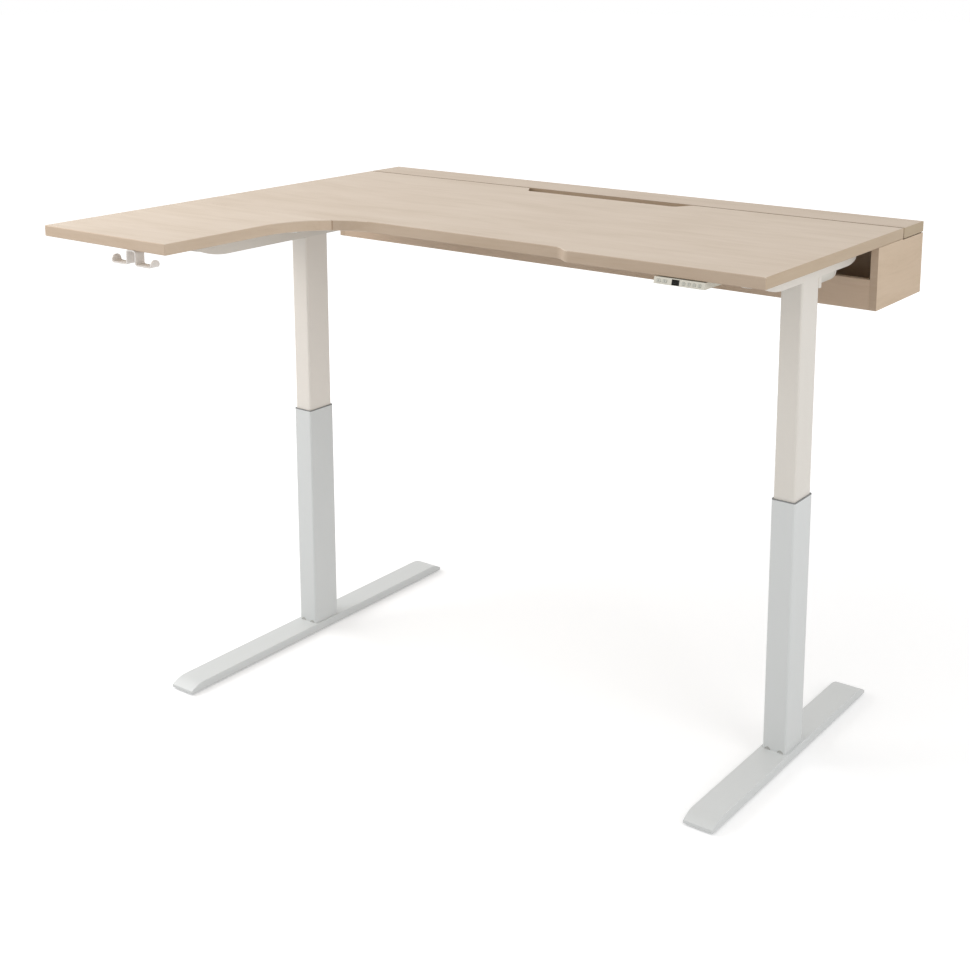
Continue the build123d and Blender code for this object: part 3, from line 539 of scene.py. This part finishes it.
def readFixing(points):    # its shape, and its seat with the way to the shank's end
    low = [min(point[axis] for point in points) for axis in range(3)]
    high = [max(point[axis] for point in points) for axis in range(3)]
    size = [top - bottom for top, bottom in zip(high, low)]
    along = min(range(3), key=lambda axis: abs(size[axis - 1] - size[axis - 2]))
    radius = size[along - 1] / 2
    rim = radius * fixingForm["headFrom"]
    middle = [(top + bottom) / 2 for top, bottom in zip(high, low)]
    away = [hypot(*[point[axis] - middle[axis] for axis in (along - 1, along - 2)]) for point in points]
    head = [point[along] for point, gap in zip(points, away) if gap > rim]
    shank = max(gap for gap in away if gap < rim)
    atTop = max(head) > high[along] - size[along] * fixingForm["endShare"]
    place = list(middle)
    place[along] = min(head) if atTop else max(head)
    way = [0, 0, 0]
    way[along] = -1 if atTop else 1
    height = max(head) - min(head)
    shape = tuple(round(value, 5) for value in (radius, height, shank, size[along] - height))
    return shape, (place, way)


def shapeFixing(shape, drive, dome):
    radius, height, shank, length = shape
    bpy.ops.mesh.primitive_cylinder_add(vertices=fixingForm["sides"], radius=radius, depth=height,
                                        location=(0, 0, -height / 2))
    fixing = bpy.context.object
    chooseFaces(fixing, lambda middle, normal: normal.z < -meshCare["straightOn"])
    bpy.ops.mesh.bevel(offset=height * dome, segments=fixingForm["domeSteps"],
                       profile=fixingForm["domeProfile"])
    chooseFaces(fixing, lambda middle, normal: normal.z > meshCare["straightOn"])
    bpy.ops.mesh.inset(thickness=radius - shank)
    bpy.ops.mesh.extrude_region_move(TRANSFORM_OT_translate={"value": (0, 0, length - shank)})
    bpy.ops.mesh.extrude_region_move(TRANSFORM_OT_translate={"value": (0, 0, shank)})
    bpy.ops.transform.resize(value=(fixingForm["tip"], fixingForm["tip"], 1))
    bpy.ops.object.mode_set(mode="OBJECT")
    cutters = []
    if drive == "hex":
        bpy.ops.mesh.primitive_cylinder_add(vertices=6, radius=radius * fixingForm["hexWidth"], depth=height,
                                            location=(0, 0, -height * fixingForm["hexPlace"]))
        cutters.append(bpy.context.object)
    else:
        slot = (fixingForm["crossLength"], fixingForm["crossWidth"])
        for wide, narrow in (slot, slot[::-1]):
            bpy.ops.mesh.primitive_cube_add(size=1, location=(0, 0, -height))
            bpy.ops.transform.resize(value=(radius * wide, radius * narrow, height))
            cutters.append(bpy.context.object)
    for cutter in cutters:
        pick(fixing)
        bpy.ops.object.modifier_add(type="BOOLEAN")
        fixing.modifiers[-1].object = cutter
        bpy.ops.object.modifier_apply(modifier=fixing.modifiers[-1].name)
        pick(cutter)
        bpy.ops.object.delete()
    return fixing


for name, look in fixings.items():
    shapes = {}
    for points in looseSolids(name):
        shape, spot = readFixing(points)
        shapes.setdefault(shape, []).append(spot)
    groups = [spread(shapeFixing(shape, **look), spots) for shape, spots in shapes.items()]
    pick(*groups)
    if len(groups) > 1:
        bpy.ops.object.join()
    fixing = bpy.context.object
    fixing.name = "fixings_" + name
    settle(fixing, finishes[slotOf[name]], bodyOf[name])
    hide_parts(name)
    print(name, len(shapes), "sizes", sum(len(spots) for spots in shapes.values()), "places")


# legends on the keys and the bars of the unlit display

handset = {
    "outward": (0, -0.961524, 0.274721),     # the way that the keys face
    "digitSize": 0.0052,
    "arrowSize": 0.0021,
    "arrowRounding": 0.0003,
    "arrowSteps": 3,
    "lift": 0.00006,                         # of the print above its face
    "legend": tone(150, 149, 142),
    "barLength": 0.0030,
    "barFill": 0.8,                          # of that length, the rest is left between the bars
    "barWidth": 0.0005,
    "barRounding": 0.6,                      # of the lift
    "digitStep": 0.0052,
    "bar": tone(44, 44, 42),
    "rimDepth": 0.00005,                     # corners this near to the front belong to the face
}
outward = Vector(handset["outward"])
upward = outward.cross(Vector((1, 0, 0)))


def faceMiddle(name):
    corners = [vertex.co for vertex in nodes[name].data.vertices]
    reach = max(corner.dot(outward) for corner in corners)
    rim = [corner for corner in corners if corner.dot(outward) > reach - handset["rimDepth"]]
    low = Vector([min(corner[axis] for corner in rim) for axis in range(3)])
    high = Vector([max(corner[axis] for corner in rim) for axis in range(3)])
    middle = (low + high) / 2
    return middle + outward * (reach - middle.dot(outward))


def onFace(piece, middle):    # turns a piece drawn on the ground plane to stand on the face
    turn = Matrix((Vector((1, 0, 0)), upward, outward)).transposed().to_4x4()
    piece.matrix_world = Matrix.Translation(middle) @ turn


def keyLegend(name, text):
    deselect()
    if text in ("up", "down"):
        bpy.ops.mesh.primitive_circle_add(vertices=3, radius=handset["arrowSize"], fill_type="NGON",
                                          rotation=(0, 0, 0 if text == "up" else pi))
        bpy.ops.object.mode_set(mode="EDIT")
        bpy.ops.mesh.select_all(action="SELECT")
        bpy.ops.mesh.bevel(offset=handset["arrowRounding"], segments=handset["arrowSteps"],
                           affect="VERTICES")
        bpy.ops.mesh.extrude_region_move(TRANSFORM_OT_translate={"value": (0, 0, handset["lift"])})
        bpy.ops.object.mode_set(mode="OBJECT")
        bpy.ops.object.transform_apply(location=False, rotation=True, scale=True)
    else:
        bpy.ops.object.text_add()
        words = bpy.context.object.data
        words.body = text
        words.size = handset["digitSize"]
        words.align_x = "CENTER"
        words.align_y = "CENTER"
        words.extrude = handset["lift"]
        bpy.ops.object.convert(target="MESH")
    legend = bpy.context.object
    legend.name = "legend_" + name
    onFace(legend, faceMiddle(name))
    settle(legend, finishes["legend"], bodyOf[name])


finishes["legend"] = plasticFinish("legendPrint", handset["legend"], 0.5, 1200.0, 0.0)
finishes["bar"] = plasticFinish("displayBar", handset["bar"], 0.3, 300.0, 0.0)
for key, text in (("up", "up"), ("down", "down"), ("one", "1"), ("two", "2"), ("three", "3"), ("four", "4")):
    keyLegend("button_" + key, text)


def displayBars():    # three figures of seven bars each
    length, width, lift = handset["barLength"], handset["barWidth"], handset["lift"]
    spots = [(0, 0, 0), (0, length, 0), (0, -length, 0)]
    spots += [(side * length / 2, end * length / 2, 1) for side in (-1, 1) for end in (-1, 1)]
    bars = []
    for digit in (-1, 0, 1):
        for x, y, upright in spots:
            deselect()
            bpy.ops.mesh.primitive_cube_add(size=1)
            bpy.ops.transform.resize(value=(length * handset["barFill"], width, lift * 2))
            bar = bpy.context.object
            bpy.ops.object.transform_apply(location=False, rotation=False, scale=True)
            bpy.ops.object.mode_set(mode="EDIT")
            bpy.ops.mesh.select_all(action="SELECT")
            bpy.ops.mesh.bevel(offset=lift * handset["barRounding"], segments=1)
            bpy.ops.object.mode_set(mode="OBJECT")
            bar.rotation_euler = (0, 0, pi / 2 * upright)
            bar.location = (x + digit * handset["digitStep"], y, 0)
            bars.append(bar)
    pick(*bars)
    bpy.ops.object.join()
    bpy.ops.object.transform_apply(location=True, rotation=True, scale=True)
    shown = bpy.context.object
    shown.name = "display_bars"
    onFace(shown, faceMiddle("handset_display"))
    settle(shown, finishes["bar"], bodyOf["handset_display"])


displayBars()
print("fixings and handset dressed")


# camera, floor, lamps and world

view = {
    "place": (2.0838, -2.7568, 1.7555),
    "tilt": 78.735,
    "turn": 36.426,
    "lens": 56.264,
    "shiftX": -0.021,
    "shiftY": -0.23,
}


def addCamera():
    bpy.ops.object.camera_add(location=view["place"],
                              rotation=(radians(view["tilt"]), 0, radians(view["turn"])))
    camera = bpy.context.object
    camera.data.lens = view["lens"]
    camera.data.shift_x = view["shiftX"]
    camera.data.shift_y = view["shiftY"]
    bpy.context.scene.camera = camera


addCamera()

studio = {
    "floorSize": 80,
    "floorGrey": 0.80,
    "glowNear": 0.32,       # the floor's own light as the camera and reflections see it,
    "glowFar": 0.6,         # near the desk and far off
    "nearRadius": 1.2,
    "farRadius": 3.2,
    "world": 0.70,          # light on the desk; the camera and reflections see 1
    "aim": (0, 0, 0.8),     # where every lamp points
    "lamps": (              # name, place, side of the square, watts
        ("ceilingSoftbox", (0, -0.3, 3.6), 2.4, 10),
        ("leftSoftbox", (-3.0, -0.6, 1.9), 2.0, 36),
        ("frontLeftSoftbox", (-1.9, -1.5, 2.1), 0.9, 15),
        ("rightSoftbox", (3.4, -0.8, 1.9), 2.0, 26),
    ),
}


def addFloor():
    bpy.ops.mesh.primitive_plane_add(size=studio["floorSize"], location=(0, 0, 0))
    floor = bpy.context.object
    floor.name = "studioFloor"
    material, shader, place = newMaterial("studioFloor")
    grey = studio["floorGrey"]
    away = place.make("ShaderNodeVectorMath", {"operation": "LENGTH"}, {0: place}, output=1)
    seen = place.make("ShaderNodeLightPath", output="Is Camera Ray")
    seen = seen + place.make("ShaderNodeLightPath", output="Is Glossy Ray")
    glow = away.ramp(studio["nearRadius"], studio["farRadius"]) * (studio["glowFar"] - studio["glowNear"])
    finish(shader, {"Base Color": (grey, grey, grey, 1), "Roughness": 1.0, "Specular IOR Level": 0.0,
                    "Emission Strength": 1.0}, {"Emission Color": seen * (glow + studio["glowNear"])})
    below = place.make("ShaderNodeNewGeometry", output="Backfacing")   # clear from underneath
    clear = place.make("ShaderNodeBsdfTransparent")
    blended = below.make("ShaderNodeMixShader", {}, {0: below, 2: clear})
    tree = material.node_tree
    tree.links.new(shader.outputs["BSDF"], blended.socket.node.inputs[1])
    tree.links.new(blended.socket, tree.nodes["Material Output"].inputs["Surface"])
    floor.data.materials.append(material)


addFloor()


def addLamp(name, location, size, watts):
    bpy.ops.object.light_add(type="AREA", location=location)
    lamp = bpy.context.object
    lamp.name = name
    lamp.data.size = size
    lamp.data.energy = watts
    lamp.rotation_euler = (Vector(studio["aim"]) - Vector(location)).to_track_quat("-Z", "Y").to_euler()


for row in studio["lamps"]:
    addLamp(*row)


def addWorld():
    world = bpy.data.worlds.new("studio")
    world.use_nodes = True
    start = Signal(world.node_tree)
    seen = start.make("ShaderNodeLightPath", output="Is Camera Ray")
    seen = seen + start.make("ShaderNodeLightPath", output="Is Glossy Ray")
    seen = seen + start.make("ShaderNodeLightPath", output="Is Transmission Ray")
    strength = studio["world"] + seen * (1 - studio["world"])
    background = world.node_tree.nodes["Background"]
    background.inputs["Color"].default_value = (1, 1, 1, 1)
    world.node_tree.links.new(strength.socket, background.inputs["Strength"])
    bpy.context.scene.world = world
    bpy.context.scene.view_settings.view_transform = "Standard"


addWorld()
print("studio set")
